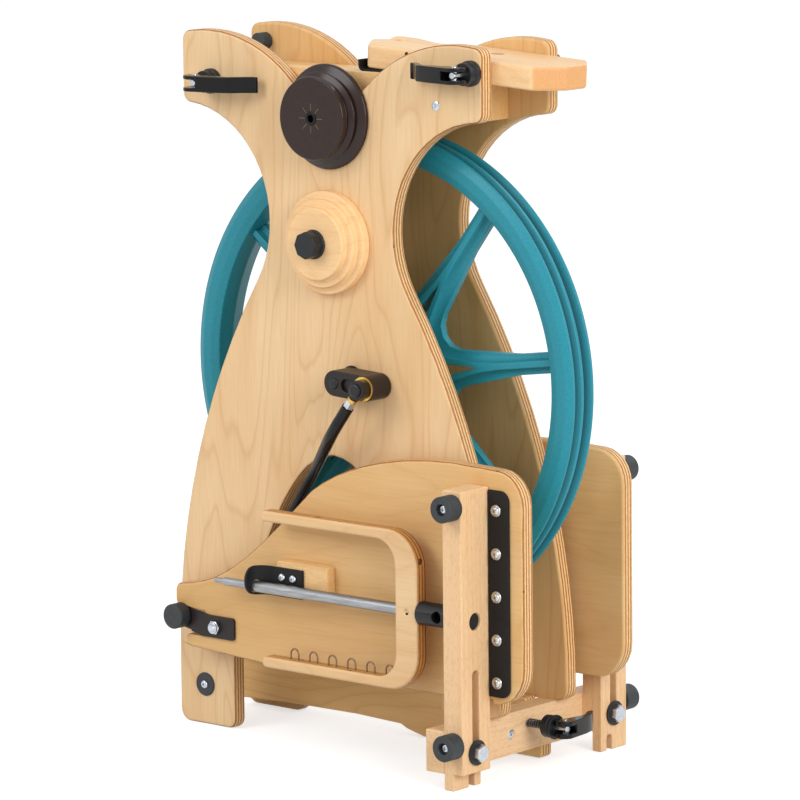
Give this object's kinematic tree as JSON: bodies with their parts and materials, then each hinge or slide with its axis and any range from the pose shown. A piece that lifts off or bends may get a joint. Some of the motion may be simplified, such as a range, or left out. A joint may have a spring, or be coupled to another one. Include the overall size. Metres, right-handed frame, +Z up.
{
  "type": "folding spinning wheel",
  "caption": "Folding upright spinning wheel with plywood sides, a spoked drive wheel, treadles folded up on both sides, cranks, footmen and a stored flyer.",
  "frame": {"origin": "on the floor under the drive wheel's axle, midway between the two side panels", "axes": "+Z up; +X towards the bars and the crossbar; -Y towards the side with the stored flyer"},
  "size_m": [0.399, 0.2414, 0.5845],
  "materials": {
    "plywood": "clear matt lacquer over light plywood",
    "maple": "clear matt lacquer over light maple",
    "teal_plastic": "moulded teal, satin",
    "black_rubber": "matt rubber",
    "black_leather": "smooth dark leather",
    "black_painted_steel": "satin black",
    "black_plastic": "satin black",
    "brown_plastic": "satin dark brown",
    "bright_steel": "plain bright steel",
    "brass_wire": "brassy wire"
  },
  "bodies": {
    "frame": {"front_panel": "plywood", "back_panel": "plywood", "crossbar": "maple", "stretcher_board": "plywood", "spreader_board": "plywood", "front_top_rail": "maple", "rear_top_rail": "maple", "frame_screws": "bright_steel", "axle_bearings": "bright_steel", "horn_bumper": "black_rubber", "holder_pad": "black_leather", "left_cam_bolt": "black_plastic", "right_cam_bolt": "black_plastic", "clamp_rod": "bright_steel", "clamp_spring": "bright_steel", "clamp_barrel": "black_plastic", "whorl_peg": "black_plastic", "stepped_disc": "maple"},
    "drive_wheel": {"wheel_rim": "teal_plastic", "wheel_spokes": "teal_plastic", "axle": "bright_steel", "front_crank": "brown_plastic", "back_crank": "brown_plastic", "crank_pins": "bright_steel", "crank_screws": "bright_steel"},
    "front_footman": {"front_footman": "black_painted_steel", "front_rod_end": "black_plastic", "front_rod_nut": "bright_steel"},
    "back_footman": {"back_footman": "black_painted_steel", "back_rod_end": "black_plastic", "back_rod_nut": "bright_steel"},
    "front_pivot": {"front_pivot_bolt": "bright_steel"},
    "back_pivot": {"back_pivot_bolt": "bright_steel"},
    "front_bar": {"front_bar": "maple", "front_bar_bumpers": "black_rubber"},
    "back_bar": {"back_bar": "maple", "back_bar_bumpers": "black_rubber"},
    "front_treadle": {"front_treadle": "plywood", "front_hinge_strap": "black_leather", "front_treadle_screws": "bright_steel", "front_toe_bracket": "black_painted_steel", "front_toe_bumper": "black_rubber", "flyer": "plywood", "flyer_hooks": "brass_wire", "flyer_shaft": "bright_steel", "flyer_hub": "black_plastic", "flyer_rest": "maple", "rest_leather": "black_leather"},
    "back_treadle": {"back_treadle": "plywood", "back_hinge_strap": "black_leather", "back_treadle_screws": "bright_steel", "back_toe_bracket": "black_painted_steel", "back_toe_bumper": "black_rubber"},
    "flyer_holder": {"flyer_holder": "maple"},
    "left_lever": {"left_cam_lever": "black_plastic"},
    "right_lever": {"right_cam_lever": "black_plastic"},
    "clamp_lever": {"clamp_lever": "black_plastic"},
    "whorl": {"whorl": "brown_plastic"},
    "knob": {"disc_knob": "black_plastic"}
  },
  "joints": [
    {"name": "wheel_spin", "type": "hinge", "parent": "frame", "child": "drive_wheel", "pos_m": [0, 0, 0.3082], "axis": [0, 1, 0], "continuous": true},
    {"name": "front_footman_swing", "type": "hinge", "parent": "drive_wheel", "child": "front_footman", "pos_m": [0.03146, -0.07754, 0.30655], "axis": [0, 1, 0], "continuous": true},
    {"name": "back_footman_swing", "type": "hinge", "parent": "drive_wheel", "child": "back_footman", "pos_m": [-0.03146, 0.07754, 0.30985], "axis": [0, 1, 0], "continuous": true},
    {"name": "front_fold", "type": "hinge", "parent": "frame", "child": "front_pivot", "pos_m": [0.14995, -0.0885, 0.0302], "axis": [1, 0, 0], "range_deg": [0, 90]},
    {"name": "front_bar_slide", "type": "slide", "parent": "front_pivot", "child": "front_bar", "axis": [0, 0, -1], "range_m": [0, 0.054]},
    {"name": "front_treadle_rock", "type": "hinge", "parent": "front_bar", "child": "front_treadle", "pos_m": [0.1593, -0.07105, 0.15], "axis": [0, 0, -1], "range_deg": [0, 9.1]},
    {"name": "back_fold", "type": "hinge", "parent": "frame", "child": "back_pivot", "pos_m": [0.14995, 0.0885, 0.0302], "axis": [-1, 0, 0], "range_deg": [0, 90]},
    {"name": "back_bar_slide", "type": "slide", "parent": "back_pivot", "child": "back_bar", "axis": [0, 0, -1], "range_m": [0, 0.054]},
    {"name": "back_treadle_rock", "type": "hinge", "parent": "back_bar", "child": "back_treadle", "pos_m": [0.1593, 0.07105, 0.15], "axis": [0, 0, 1], "range_deg": [0, 9.1]},
    {"name": "flyer_holder_tilt", "type": "hinge", "parent": "frame", "child": "flyer_holder", "pos_m": [0.1273, 0, 0.563], "axis": [0, 1, 0], "range_deg": [0, 90]},
    {"name": "left_cam_lever_open", "type": "hinge", "parent": "frame", "child": "left_lever", "pos_m": [-0.1477, -0.07, 0.5425], "axis": [0, 0, -1], "range_deg": [0, 90]},
    {"name": "right_cam_lever_open", "type": "hinge", "parent": "frame", "child": "right_lever", "pos_m": [0.1273, -0.07, 0.563], "axis": [0, 0, 1], "range_deg": [0, 90]},
    {"name": "clamp_lever_open", "type": "hinge", "parent": "frame", "child": "clamp_lever", "pos_m": [0.1783, 0, 0.0358], "axis": [0, 0, -1], "range_deg": [0, 90]},
    {"name": "whorl_pull", "type": "slide", "parent": "frame", "child": "whorl", "axis": [0, -1, 0], "range_m": [0, 0.03]},
    {"name": "disc_knob_turn", "type": "hinge", "parent": "frame", "child": "knob", "pos_m": [-0.0217, -0.0736, 0.419], "axis": [0, -1, 0], "continuous": true}
  ],
  "couplings": [
    {"joint": "front_footman_swing", "follows": "wheel_spin", "ratio": -1},
    {"joint": "back_footman_swing", "follows": "wheel_spin", "ratio": -1},
    {"joint": "front_bar_slide", "follows": "front_fold", "m_per_rad": 0.034314},
    {"joint": "back_bar_slide", "follows": "back_fold", "m_per_rad": 0.034314},
    {"joint": "front_treadle_rock", "follows": "front_fold", "ratio": 0.1},
    {"joint": "back_treadle_rock", "follows": "back_fold", "ratio": 0.1}
  ]
}
